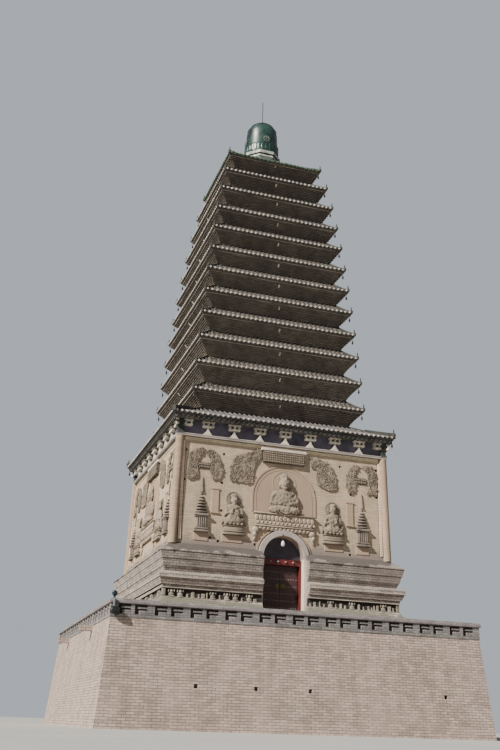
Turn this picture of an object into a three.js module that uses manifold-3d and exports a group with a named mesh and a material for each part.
import * as THREE from 'three';
import { mergeVertices } from 'three/addons/utils/BufferGeometryUtils.js';
import Module from 'manifold-3d';

// A square brick pagoda with thirteen eaves on a battered platform, as a scale model at 1:2.
// Every dimension below is the real tower's, in metres. X runs right along the front face, Y runs
// back from it and Z runs up from the foot of the platform. The origin is on the tower's axis.
// A half width is the distance from the axis to a face.

const METRE = 500; // millimetres of model for one real metre
const SEAT_GAP = 0.0006; // 0.3 mm in the model, between a piece and the neighbour that it is cut to

// Platform and parapet
const PLATFORM_FOOT_HALF = 11.8;
const PLATFORM_TOP_HALF = 11.3;
const TERRACE_Z = 5.67;
const SPOUT = { root: 10.95, reach: 12.08, offset: 5.2, width: 0.34, height: 0.31, groove: 0.12 };
const PUT_LOG = { size: 0.22, depth: 0.3, z: 2.28, places: [-6.43, -3.0, 0.2, 8.7] };
const PARAPET = { outer: 11.33, inner: 10.93, coping: 11.4, copingZ: 6.4, arrisZ: 6.56, top: 6.66 };
const PANEL = { pairs: 11, pitch: 2.02, width: 0.7, post: 0.21, z0: 5.86, z1: 6.39, depth: 0.14 };
const LAMP = { place: 11.13, foot: 0.09, footTop: 6.7, neck: 0.05, stem: 0.12, globe: 0.16 };

// Plinth: half width and level of each arris, from the terrace up to the foot of the body
const PLINTH_PROFILE = [
  [8.25, TERRACE_Z], [8.25, 6.05], [8.12, 6.05], [8.12, 6.5], [8.02, 6.5], [8.02, 7.05],
  [7.76, 7.42], [7.66, 7.42], [7.66, 7.9], [7.8, 7.9], [7.8, 8.12], [7.88, 8.12],
  [7.98, 8.5], [8.07, 8.5], [8.08, 8.74], [7.64, 8.93], [7.72, 9.2], [7.8, 9.2],
  [7.87, 9.65], [7.95, 9.65], [8.0, 10.1], [8.09, 10.1], [8.09, 10.15], [7.27, 10.72],
];

// Body of the tower
const BODY_FOOT_Z = 10.72;
const BODY_TOP_Z = 17.6;
const BODY_FOOT_HALF = 7.27;
const BODY_TOP_HALF = 7.07;
const CHAMBER_HALF = 3.35;
const FLOOR_THICKNESS = 0.08;
const COLUMN = { radius: 0.32, inset: 0.04, sides: 16, startZ: 10.4 };

// Carving on each face: places along the wall from its centre, levels, and how far it stands proud
const CARVING_BOND = 0.3; // how far a carved brick reaches into the wall
const CANOPY = { place: -0.06, z0: 16.45, z1: 17.4, width: 2.92, proud: 0.24 };
const HALO = { half: 2.15, z0: 13.12, springZ: 14.15, proud: 0.1 };
const PEDESTAL = { outline: [[2.2, 12.12], [1.75, 12.5], [2.1, 13.12]], proud: 0.32 };
const SEATED_FIGURE = [
  { z: 13.5, proud: 0.16, half: [1.1, 0.42, 0.45] },
  { z: 14.25, proud: 0.14, half: [0.72, 0.34, 0.95] },
  { z: 15.35, proud: 0.24, half: [0.42, 0.3, 0.6] },
];
const ATTENDANT_PLACE = 3.38;
const ATTENDANT_BASE = [
  { z0: 11.48, z1: 11.72, width: 1.42, proud: 0.34 },
  { z0: 11.72, z1: 12.08, width: 1.24, proud: 0.28 },
];
const ATTENDANT = [
  { z: 12.45, proud: 0.12, half: [0.72, 0.34, 0.46] },
  { z: 13.0, proud: 0.12, half: [0.45, 0.28, 0.66] },
  { z: 13.82, proud: 0.18, half: [0.26, 0.2, 0.36] },
];
const SMALL_PAGODA_PLACE = 5.49;
const SMALL_PAGODA = {
  outline: [[0.48, 11.5], [0.34, 11.68], [0.44, 12.5], [0.38, 12.66], [0.12, 14.0], [0.04, 14.6]],
  proud: 0.2,
};
const STELE = { place: 4.62, z0: 12.74, z1: 14.4, width: 0.5, proud: 0.1 };
const SMALL_CANOPY = { place: 5.42, z0: 15.6, z1: 16.06, width: 0.86, proud: 0.14 };
const CLOUDS = [
  { place: 4.76, z0: 14.93, z1: 16.84, width: 0.96, proud: 0.12 },
  { place: 6.12, z0: 14.93, z1: 16.95, width: 0.84, proud: 0.12 },
  { place: 2.72, z0: 14.96, z1: 17.2, width: 1.94, proud: 0.14 },
];
const CLOUD_OUTLINE = [[-0.44, 0.12], [0.1, 0], [0.5, 0.2], [0.44, 0.72], [0.1, 1], [-0.4, 0.8]];
const PILASTER = { place: 6.77, z0: 10.95, z1: 17.3, width: 0.2, proud: 0.06 };

// Doorway
const ROUGH_HALF = 1.5;
const CLEAR_HALF = 1.353;
const SPRING_Z = 10.34;
const ARCH_STEPS = 12;
const RING_WIDTH = 0.36;
const RING_PROUD = 0.1;
const JAMB_FRONT = 7.42;
const FRAME = { front: 6.95, back: 6.5, post: 0.123, sill: 0.12, transomZ: 9.93, top: 10.3 };
const LEAF = { front: 6.66, back: 6.56, edgeGap: 0.03, meetGap: 0.006, endGap: 0.014, pivotInset: 0.06 };
const PIVOT_PIN_RADIUS = 0.03;
const LUNETTE = { front: 6.72, back: 6.64 };

// Plate beam, brackets and the main eave
const BEAM = { outer: 7.33, inner: 6.5, top: 17.75 };
const BRACKET_CORE_HALF = 7.1;
const BRACKET_TOP_Z = 18.67;
const BRACKET_FRONT = 7.46;
const BRACKET_EDGE = [
  [0.22, 17.75], [0.22, 17.9], [0.13, 18.0], [0.13, 18.13], [0.42, 18.26], [0.42, 18.67],
];
const BRACKET_PITCH = 1.75;
const BRACKETS_BESIDE_CENTRE = 3;
const CORNER_BRACKET_PLACE = 7.08;
const RAFTER_HALF = 7.62;
const RAFTER_TOP_Z = 18.92;
const MAIN_EAVE_HALF = 7.73;
const MAIN_EAVE_Z = 19.05;
const MAIN_ROOF_TOP_Z = 20.13;

// Upper eaves, from the second to the thirteenth: level of the corner tips
const EAVE_Z = [21.49, 23.5, 25.49, 27.37, 29.2, 31.03, 32.82, 34.69, 36.51, 38.43, 40.32, 42.15];
const EAVE_HALF = { second: 6.21, step: 0.15, bow: 5.25e-5 };
const OVERHANG = { second: 0.88, step: 0.02 };
const TILE_END_DROP = 0.19; // how far the tile ends lie below the corner tips
const TILE_EDGE = 0.14;
const TILE_OVERHANG = 0.1;
const CORBEL_HEIGHT = 1.06;
const CORBEL_STEPS = 10;
const CORBEL_CURVE = 1.45; // above 1, the courses step out further the higher they lie
const ROOF_RISE = 0.59; // from a corner tip up to the neck above
const ROOF_BEND_SHARE = 0.42; // share of the rise gained on the outer half of a roof's slope
const UNDER_TILE_FALL = 0.03;
const ROOF_TUCK = 0.04; // how far a roof runs in over the neck of the storey above
const TOP_ROOF = { half: 1.55, rise: 1.32 };
const CORNER_LIFT = 0.03;
const LIFT_SHARE = 0.12; // share of each side, from a corner, along which the eave turns up

// Finial
const FINIAL_BASE = { apothem: 1.38, bandApothem: 1.45, bandZ: 44.27, top: 44.55 };
const DOME_PROFILE = [
  [1.4, 44.55], [1.42, 45.1], [1.38, 45.5], [1.31, 46.0], [1.29, 46.42], [1.27, 46.8],
  [1.22, 47.1], [1.12, 47.3], [0.98, 47.48], [0.8, 47.62], [0.5, 47.76], [0.3, 47.8],
];
const ROD = { radius: 0.035, top: 50.3 };

const QUARTER_TURNS = [0, 90, 180, 270];
const FAR = 30; // beyond every piece, for cutting blocks

const wasm = await Module();
wasm.setup();

function toSolid(geometry) {
  const bare = geometry.clone();
  bare.deleteAttribute('normal');
  bare.deleteAttribute('uv');
  const merged = mergeVertices(bare, 1e-5);
  return new wasm.Manifold(new wasm.Mesh({
    numProp: 3,
    vertProperties: new Float32Array(merged.attributes.position.array),
    triVerts: new Uint32Array(merged.index.array),
  }));
}

function toGeometry(solid) {
  const mesh = solid.getMesh();
  const geometry = new THREE.BufferGeometry();
  geometry.setAttribute('position', new THREE.BufferAttribute(new Float32Array(mesh.vertProperties), 3));
  geometry.setIndex(new THREE.BufferAttribute(new Uint32Array(mesh.triVerts), 1));
  return geometry;
}

// A closed solid through rings of points, listed upward, each counterclockwise seen from above
function loft(rings) {
  const count = rings[0].length;
  const index = [];
  for (let level = 0; level + 1 < rings.length; level += 1) {
    for (let i = 0; i < count; i += 1) {
      const a = level * count + i;
      const b = level * count + ((i + 1) % count);
      index.push(a, b, b + count, a, b + count, a + count);
    }
  }
  const last = (rings.length - 1) * count;
  for (let i = 1; i + 1 < count; i += 1) {
    index.push(0, i + 1, i, last, last + i, last + i + 1);
  }
  const geometry = new THREE.BufferGeometry();
  geometry.setAttribute('position', new THREE.Float32BufferAttribute(rings.flat(2), 3));
  geometry.setIndex(index);
  return toSolid(geometry);
}

function block(x0, x1, y0, y1, z0, z1) {
  return loft([z0, z1].map((z) => [[x0, y0, z], [x1, y0, z], [x1, y1, z], [x0, y1, z]]));
}

function wholeAbove(z) {
  return block(-FAR, FAR, -FAR, FAR, z, FAR);
}

// A block on the front face, cut inward from far in front of it
function cutFromFront(x, width, back, z0, z1) {
  return block(x - width / 2, x + width / 2, -FAR, -back, z0, z1);
}

function squareRing(half, z) {
  return [[-half, -half, z], [half, -half, z], [half, half, z], [-half, half, z]];
}

function squareStack(profile, grow = 0) {
  return loft(profile.map(([half, z]) => squareRing(half + grow, z)));
}

// A square ring with two more points on each side, whose corners are lifted
function eaveRing(half, z, lift) {
  return squareRing(half, z).flatMap((corner, i, corners) => {
    const next = corners[(i + 1) % 4];
    const along = (share) => [0, 1].map((axis) => corner[axis] + (next[axis] - corner[axis]) * share);
    return [[corner[0], corner[1], z + lift], [...along(LIFT_SHARE), z], [...along(1 - LIFT_SHARE), z]];
  });
}

function roundRing(x, y, z, radius, sides) {
  return Array.from({ length: sides }, (_, i) => {
    const angle = (2 * Math.PI * (i + 0.5)) / sides;
    return [x + radius * Math.cos(angle), y + radius * Math.sin(angle), z];
  });
}

function joinAll(solids) {
  return solids.reduce((all, one) => all.add(one));
}

// The front's piece and its three copies on the other faces
function onEachFace(makeFront) {
  const front = makeFront();
  return joinAll(QUARTER_TURNS.map((angle) => front.rotate([0, 0, angle])));
}

// An upright plate on the front face: its outline in X and Z, from one depth forward to another
function plate(outline, back, front) {
  const shape = new THREE.Shape(outline.map(([x, z]) => new THREE.Vector2(x, z)));
  const geometry = new THREE.ExtrudeGeometry(shape, { depth: front - back, bevelEnabled: false });
  geometry.rotateX(Math.PI / 2);
  geometry.translate(0, -back, 0);
  return toSolid(geometry);
}

function bodyHalf(z) {
  const share = (z - BODY_FOOT_Z) / (BODY_TOP_Z - BODY_FOOT_Z);
  return BODY_FOOT_HALF + (BODY_TOP_HALF - BODY_FOOT_HALF) * share;
}

function eaveHalf(order) {
  return EAVE_HALF.second - EAVE_HALF.step * order - EAVE_HALF.bow * order ** 4;
}

function neckHalf(order) {
  return eaveHalf(order) - OVERHANG.second + OVERHANG.step * order;
}

function spoutPlaces() {
  const { offset } = SPOUT;
  return [
    { name: 'spout_left_front', side: -1, y: -offset },
    { name: 'spout_left_back', side: -1, y: offset },
    { name: 'spout_right_front', side: 1, y: -offset },
    { name: 'spout_right_back', side: 1, y: offset },
  ];
}

// A drain spout's stone, or with a gap added the pocket that it is built into
function spoutBlock(side, y, gap = 0) {
  const [x0, x1] = [side * (SPOUT.root - gap), side * SPOUT.reach].sort((a, b) => a - b);
  const reach = SPOUT.width / 2 + gap;
  const top = gap > 0 ? FAR : TERRACE_Z - SEAT_GAP;
  return block(x0, x1, y - reach, y + reach, TERRACE_Z - SPOUT.height - gap, top);
}

function makeSpouts() {
  const clear = PARAPET.outer + SEAT_GAP;
  return Object.fromEntries(spoutPlaces().map(({ name, side, y }) => {
    const [x0, x1] = [side * clear, side * FAR].sort((a, b) => a - b);
    const reach = SPOUT.width / 4;
    const channel = block(x0, x1, y - reach, y + reach, TERRACE_Z - SPOUT.groove, FAR);
    return [name, spoutBlock(side, y).subtract(channel)];
  }));
}

function makePlatform() {
  const solid = squareStack([[PLATFORM_FOOT_HALF, 0], [PLATFORM_TOP_HALF, TERRACE_Z]]);
  const pockets = spoutPlaces().map(({ side, y }) => spoutBlock(side, y, SEAT_GAP));
  const { size, depth, z, places } = PUT_LOG;
  const face = PLATFORM_FOOT_HALF - ((PLATFORM_FOOT_HALF - PLATFORM_TOP_HALF) * z) / TERRACE_Z;
  const holes = places.map((x) => cutFromFront(x, size, face - depth, z - size / 2, z + size / 2));
  return solid.subtract(joinAll([...holes, ...pockets]));
}

function makeParapets() {
  const { outer, inner, coping, copingZ, arrisZ, top } = PARAPET;
  const profile = [[outer, TERRACE_Z], [outer, copingZ], [coping, copingZ], [coping, arrisZ], [outer, top]];
  const panels = onEachFace(() => {
    const recesses = [];
    for (let pair = 0; pair < PANEL.pairs; pair += 1) {
      const centre = (pair - (PANEL.pairs - 1) / 2) * PANEL.pitch;
      for (const side of [-1, 1]) {
        const x = centre + (side * (PANEL.width + PANEL.post)) / 2;
        recesses.push(cutFromFront(x, PANEL.width, outer - PANEL.depth, PANEL.z0, PANEL.z1));
      }
    }
    return joinAll(recesses);
  });
  const court = block(-inner, inner, -inner, inner, 0, FAR);
  const whole = squareStack(profile).subtract(panels).subtract(court);
  return {
    parapet_front: whole.intersect(block(-FAR, FAR, -FAR, -inner, 0, FAR)),
    parapet_right: whole.intersect(block(inner, FAR, -inner, inner, 0, FAR)),
    parapet_back: whole.intersect(block(-FAR, FAR, inner, FAR, 0, FAR)),
    parapet_left: whole.intersect(block(-FAR, -inner, -inner, inner, 0, FAR)),
  };
}

function makePlinth() {
  const passage = block(-ROUGH_HALF, ROUGH_HALF, -FAR, 0, 0, FAR);
  const chamber = block(-CHAMBER_HALF, CHAMBER_HALF, -CHAMBER_HALF, CHAMBER_HALF, 0, FAR);
  const whole = squareStack(PLINTH_PROFILE).subtract(passage).subtract(chamber);
  return {
    plinth_front_left: whole.intersect(block(-FAR, 0, -FAR, -CHAMBER_HALF, 0, FAR)),
    plinth_front_right: whole.intersect(block(0, FAR, -FAR, -CHAMBER_HALF, 0, FAR)),
    plinth_right: whole.intersect(block(CHAMBER_HALF, FAR, -CHAMBER_HALF, CHAMBER_HALF, 0, FAR)),
    plinth_back: whole.intersect(block(-FAR, FAR, CHAMBER_HALF, FAR, 0, FAR)),
    plinth_left: whole.intersect(block(-FAR, -CHAMBER_HALF, -CHAMBER_HALF, CHAMBER_HALF, 0, FAR)),
  };
}

function cornerColumn(signX, signY, radius) {
  const at = (z) => {
    const centre = bodyHalf(z) - COLUMN.inset;
    return roundRing(signX * centre, signY * centre, z, radius, COLUMN.sides);
  };
  return loft([at(COLUMN.startZ), at(BODY_TOP_Z)]);
}

function makeCornerColumns() {
  const plinth = squareStack(PLINTH_PROFILE, SEAT_GAP);
  const places = { front_left: [-1, -1], front_right: [1, -1], back_right: [1, 1], back_left: [-1, 1] };
  return Object.fromEntries(Object.entries(places).map(([name, [signX, signY]]) => {
    const shaft = cornerColumn(signX, signY, COLUMN.radius).intersect(wholeAbove(BODY_FOOT_Z));
    return [`corner_column_${name}`, shaft.subtract(plinth)];
  }));
}

function archProfile(radius, footZ) {
  const arc = Array.from({ length: ARCH_STEPS + 1 }, (_, i) => {
    const angle = (Math.PI * i) / ARCH_STEPS;
    return [radius * Math.cos(angle), SPRING_Z + radius * Math.sin(angle)];
  });
  return [[radius, footZ], ...arc, [-radius, footZ]];
}

// A plate or figure carved on the front face stands this far proud of the wall at its middle
function carved(outline, proud) {
  const levels = outline.map((point) => point[1]);
  const face = bodyHalf((Math.min(...levels) + Math.max(...levels)) / 2);
  return plate(outline, face - CARVING_BOND, face + proud);
}

function carvedSlab({ place: x, z0, z1, width, proud }) {
  const reach = width / 2;
  return carved([[x - reach, z0], [x + reach, z0], [x + reach, z1], [x - reach, z1]], proud);
}

// An outline given up its right edge is closed by the same edge mirrored
function carvedSymmetric(x, rightEdge, proud) {
  const right = rightEdge.map(([u, z]) => [x + u, z]);
  const left = rightEdge.map(([u, z]) => [x - u, z]).reverse();
  return carved([...right, ...left], proud);
}

function roundedMass(x, { z, proud, half: [halfWidth, halfDepth, halfHeight] }) {
  const geometry = new THREE.SphereGeometry(1, 8, 4);
  geometry.rotateX(Math.PI / 2);
  geometry.scale(halfWidth, halfDepth, halfHeight);
  geometry.translate(x, -bodyHalf(z) - proud, z);
  return toSolid(geometry);
}

function makeHalo() {
  const rightEdge = [[HALO.half, HALO.z0]];
  for (let i = 0; i < ARCH_STEPS / 2; i += 1) {
    const angle = (Math.PI * i) / ARCH_STEPS;
    rightEdge.push([HALO.half * Math.cos(angle), HALO.springZ + HALO.half * Math.sin(angle)]);
  }
  return carvedSymmetric(0, rightEdge, HALO.proud);
}

function makeCloud({ place: x, z0, z1, width, proud }, side) {
  return carved(CLOUD_OUTLINE.map(([u, v]) => [side * (x + u * width), z0 + (z1 - z0) * v]), proud);
}

function makeReliefs() {
  const pieces = [makeHalo(), carvedSymmetric(0, PEDESTAL.outline, PEDESTAL.proud), carvedSlab(CANOPY)];
  pieces.push(...SEATED_FIGURE.map((mass) => roundedMass(0, mass)));
  for (const side of [-1, 1]) {
    const slabs = [STELE, SMALL_CANOPY, PILASTER].map((slab) => ({ ...slab, place: side * slab.place }));
    const bases = ATTENDANT_BASE.map((slab) => ({ ...slab, place: side * ATTENDANT_PLACE }));
    pieces.push(...[...slabs, ...bases].map(carvedSlab));
    pieces.push(...ATTENDANT.map((mass) => roundedMass(side * ATTENDANT_PLACE, mass)));
    pieces.push(carvedSymmetric(side * SMALL_PAGODA_PLACE, SMALL_PAGODA.outline, SMALL_PAGODA.proud));
    pieces.push(...CLOUDS.map((cloud) => makeCloud(cloud, side)));
  }
  return joinAll(pieces);
}

function makeBody() {
  const shaftProfile = [[bodyHalf(SPRING_Z), SPRING_Z], [bodyHalf(BODY_TOP_Z), BODY_TOP_Z]];
  const chamber = block(-CHAMBER_HALF, CHAMBER_HALF, -CHAMBER_HALF, CHAMBER_HALF, 0, FAR);
  const soffit = plate(archProfile(CLEAR_HALF, 0), 0, FAR);
  let shaft = squareStack(shaftProfile).add(onEachFace(makeReliefs)).subtract(chamber).subtract(soffit);
  for (const signX of [-1, 1]) {
    for (const signY of [-1, 1]) {
      shaft = shaft.subtract(cornerColumn(signX, signY, COLUMN.radius + SEAT_GAP));
    }
  }
  const side = shaft.intersect(wholeAbove(BODY_FOOT_Z));
  return {
    front_wall_left: side.intersect(block(-FAR, -ROUGH_HALF, -FAR, -CHAMBER_HALF, 0, FAR)),
    front_wall_right: side.intersect(block(ROUGH_HALF, FAR, -FAR, -CHAMBER_HALF, 0, FAR)),
    front_wall_over_door: shaft.intersect(block(-ROUGH_HALF, ROUGH_HALF, -FAR, -CHAMBER_HALF, 0, FAR)),
    right_wall: side.intersect(block(CHAMBER_HALF, FAR, -CHAMBER_HALF, CHAMBER_HALF, 0, FAR)),
    back_wall: side.intersect(block(-FAR, FAR, CHAMBER_HALF, FAR, 0, FAR)),
    left_wall: side.intersect(block(-FAR, -CHAMBER_HALF, -CHAMBER_HALF, CHAMBER_HALF, 0, FAR)),
  };
}

function makeArchRing() {
  const front = bodyHalf(SPRING_Z) + RING_PROUD;
  const passage = block(-ROUGH_HALF, ROUGH_HALF, -FAR, 0, 0, FAR);
  const plinth = squareStack(PLINTH_PROFILE, SEAT_GAP).subtract(passage);
  const shaft = squareStack([[bodyHalf(0), 0], [bodyHalf(BODY_TOP_Z), BODY_TOP_Z]], SEAT_GAP);
  return plate(archProfile(CLEAR_HALF + RING_WIDTH, SPRING_Z), 0, front)
    .subtract(plate(archProfile(CLEAR_HALF, 0), 0, FAR))
    .subtract(shaft)
    .subtract(plinth);
}

function makeJamb(side) {
  const [x0, x1] = [side * CLEAR_HALF, side * (ROUGH_HALF - SEAT_GAP)].sort((a, b) => a - b);
  return block(x0, x1, -JAMB_FRONT, -CHAMBER_HALF, TERRACE_Z, SPRING_Z - SEAT_GAP);
}

function makeDoorFrame() {
  const outer = CLEAR_HALF - SEAT_GAP;
  const inner = CLEAR_HALF - FRAME.post;
  return block(-outer, outer, -FRAME.front, -FRAME.back, TERRACE_Z, FRAME.top)
    .subtract(block(-inner, inner, -FAR, 0, TERRACE_Z + FRAME.sill, FRAME.transomZ));
}

function makeLunette() {
  return plate(archProfile(CLEAR_HALF - SEAT_GAP, FRAME.top), LUNETTE.back, LUNETTE.front)
    .intersect(wholeAbove(FRAME.top));
}

function makeLeaf(side) {
  const edge = CLEAR_HALF - FRAME.post - LEAF.edgeGap;
  const sill = TERRACE_Z + FRAME.sill;
  const [x0, x1] = [side * edge, side * LEAF.meetGap].sort((a, b) => a - b);
  const panel = block(x0, x1, -LEAF.front, -LEAF.back, sill + LEAF.endGap, FRAME.transomZ - LEAF.endGap);
  const pivot = [side * (edge - LEAF.pivotInset), -(LEAF.front + LEAF.back) / 2];
  const pinEnds = [sill + SEAT_GAP, FRAME.transomZ - SEAT_GAP];
  const pin = loft(pinEnds.map((z) => roundRing(pivot[0], pivot[1], z, PIVOT_PIN_RADIUS, 12)));
  return panel.add(pin);
}

function makeChamberFloor() {
  const half = CHAMBER_HALF - SEAT_GAP;
  return block(-half, half, -half, half, TERRACE_Z, TERRACE_Z + FLOOR_THICKNESS);
}

function makePlateBeam() {
  return squareStack([[BEAM.outer, BODY_TOP_Z], [BEAM.outer, BEAM.top]])
    .subtract(block(-BEAM.inner, BEAM.inner, -BEAM.inner, BEAM.inner, 0, FAR));
}

function makeBracketCourse() {
  const plug = BEAM.inner - SEAT_GAP;
  const core = squareStack([
    [plug, BODY_TOP_Z], [plug, BEAM.top], [BRACKET_CORE_HALF, BEAM.top], [BRACKET_CORE_HALF, BRACKET_TOP_Z],
  ]);
  const left = BRACKET_EDGE.map(([x, z]) => [-x, z]).reverse();
  const brackets = onEachFace(() => {
    const row = [];
    for (let i = -BRACKETS_BESIDE_CENTRE; i <= BRACKETS_BESIDE_CENTRE; i += 1) {
      const moved = [...BRACKET_EDGE, ...left].map(([x, z]) => [x + i * BRACKET_PITCH, z]);
      row.push(plate(moved, BEAM.inner, BRACKET_FRONT));
    }
    const corner = loft(BRACKET_EDGE.map(([half, z]) => squareRing(half, z).map(([x, y]) => (
      [x + CORNER_BRACKET_PLACE, y - CORNER_BRACKET_PLACE, z]))));
    return joinAll([...row, corner]);
  });
  return core.add(brackets);
}

function eaveRoof(underHalf, underZ, half, edgeZ, topHalf, topZ) {
  const bendHalf = (half + topHalf) / 2;
  const bendZ = edgeZ + (topZ - edgeZ) * ROOF_BEND_SHARE;
  return loft([
    eaveRing(underHalf, underZ, 0),
    eaveRing(half, underZ + UNDER_TILE_FALL, CORNER_LIFT),
    eaveRing(half, edgeZ, CORNER_LIFT),
    eaveRing(bendHalf, bendZ, 0),
    eaveRing(topHalf, topZ, 0),
  ]);
}

function makeMainEave() {
  const rafters = squareStack([[RAFTER_HALF, BRACKET_TOP_Z], [RAFTER_HALF, RAFTER_TOP_Z]]);
  const topHalf = neckHalf(0) + ROOF_TUCK;
  const roof = eaveRoof(RAFTER_HALF, RAFTER_TOP_Z, MAIN_EAVE_HALF, MAIN_EAVE_Z, topHalf, MAIN_ROOF_TOP_Z);
  return rafters.add(roof);
}

function makeStorey(order) {
  const isTop = order === EAVE_Z.length - 1;
  const tipZ = EAVE_Z[order];
  const edgeZ = tipZ - TILE_END_DROP;
  const underZ = edgeZ - TILE_EDGE;
  const neck = neckHalf(order);
  const underHalf = eaveHalf(order) - TILE_OVERHANG;
  const startZ = order === 0 ? MAIN_ROOF_TOP_Z : EAVE_Z[order - 1] + ROOF_RISE;
  const corbelZ = Math.max(underZ - CORBEL_HEIGHT, startZ);
  const course = (underZ - corbelZ) / CORBEL_STEPS;
  const profile = corbelZ > startZ ? [[neck, startZ], [neck, corbelZ]] : [];
  for (let step = 1; step <= CORBEL_STEPS; step += 1) {
    const half = neck + (underHalf - neck) * (step / CORBEL_STEPS) ** CORBEL_CURVE;
    profile.push([half, corbelZ + (step - 1) * course], [half, corbelZ + step * course]);
  }
  const topHalf = isTop ? TOP_ROOF.half : neckHalf(order + 1) + ROOF_TUCK;
  const topZ = tipZ + (isTop ? TOP_ROOF.rise : ROOF_RISE);
  const roof = eaveRoof(underHalf, underZ, eaveHalf(order), edgeZ, topHalf, topZ);
  return squareStack(profile).add(roof);
}

function octagon(apothem, z) {
  return roundRing(0, 0, z, apothem / Math.cos(Math.PI / 8), 8);
}

function makeFinialBase() {
  const foot = EAVE_Z.at(-1) + TOP_ROOF.rise;
  const { apothem, bandApothem, bandZ, top } = FINIAL_BASE;
  return loft([
    octagon(apothem, foot), octagon(apothem, bandZ), octagon(bandApothem, bandZ), octagon(bandApothem, top),
  ]);
}

function lathe(profile, segments) {
  const points = [[0, profile[0][1]], ...profile, [0, profile.at(-1)[1]]];
  const geometry = new THREE.LatheGeometry(points.map(([r, z]) => new THREE.Vector2(r, z)), segments);
  geometry.rotateX(Math.PI / 2);
  return toSolid(geometry);
}

function makeRod() {
  const foot = DOME_PROFILE.at(-1)[1];
  return loft([foot, ROD.top].map((z) => roundRing(0, 0, z, ROD.radius, 8)));
}

function makeLamp() {
  const globeZ = LAMP.footTop + LAMP.stem + LAMP.globe;
  const profile = [[LAMP.foot, PARAPET.top], [LAMP.foot, LAMP.footTop], [LAMP.neck, LAMP.footTop]];
  const steps = 6;
  for (let i = 1; i < steps; i += 1) {
    const angle = (Math.PI * i) / steps - Math.PI / 2;
    profile.push([LAMP.globe * Math.cos(angle), globeZ + LAMP.globe * Math.sin(angle)]);
  }
  return lathe(profile, 10).translate([-LAMP.place, -LAMP.place, 0]);
}

const COLOURS = {
  platform: 0x9a9082, plinth: 0x8f887d, wall: 0xb7a892, stone: 0xcfc8bd, door: 0x7a1f1c, dark: 0x2b2a2e,
  brick: 0x6e655b, tile: 0x8a8780, glaze: 0x2d6a4f, metal: 0x3b3f45, glass: 0x2f4f4a,
};

function pick(colour, roughness = 0.9, metalness = 0) {
  return new THREE.MeshStandardMaterial({ color: COLOURS[colour], roughness, metalness });
}

const pagoda = new THREE.Group();

function place(name, solid, material) {
  const geometry = toGeometry(solid);
  geometry.scale(METRE, METRE, METRE);
  const mesh = new THREE.Mesh(geometry, material);
  mesh.name = name;
  pagoda.add(mesh);
}

function placeAll(pieces, colour) {
  for (const [name, solid] of Object.entries(pieces)) {
    place(name, solid, pick(colour));
  }
}

place('platform', makePlatform(), pick('platform'));
placeAll(makeSpouts(), 'platform');
placeAll(makeParapets(), 'platform');
place('corner_lamp', makeLamp(), pick('glass', 0.2));
placeAll(makePlinth(), 'plinth');
placeAll(makeBody(), 'wall');
placeAll(makeCornerColumns(), 'wall');
place('chamber_floor', makeChamberFloor(), pick('plinth'));
place('door_jamb_left', makeJamb(-1), pick('stone'));
place('door_jamb_right', makeJamb(1), pick('stone'));
place('arch_ring', makeArchRing(), pick('stone'));
place('door_frame', makeDoorFrame(), pick('door', 0.6));
place('door_lunette', makeLunette(), pick('dark', 0.7));
place('door_left', makeLeaf(-1), pick('door', 0.6));
place('door_right', makeLeaf(1), pick('door', 0.6));
place('plate_beam', makePlateBeam(), pick('stone'));
place('bracket_course', makeBracketCourse(), pick('stone'));
place('main_eave', makeMainEave(), pick('tile'));
EAVE_Z.forEach((_, order) => {
  place(`storey_${String(order + 2).padStart(2, '0')}`, makeStorey(order), pick('brick'));
});
place('finial_base', makeFinialBase(), pick('stone'));
place('finial_dome', lathe(DOME_PROFILE, 20), pick('glaze', 0.25));
place('finial_rod', makeRod(), pick('metal', 0.4, 0.8));

export default pagoda;
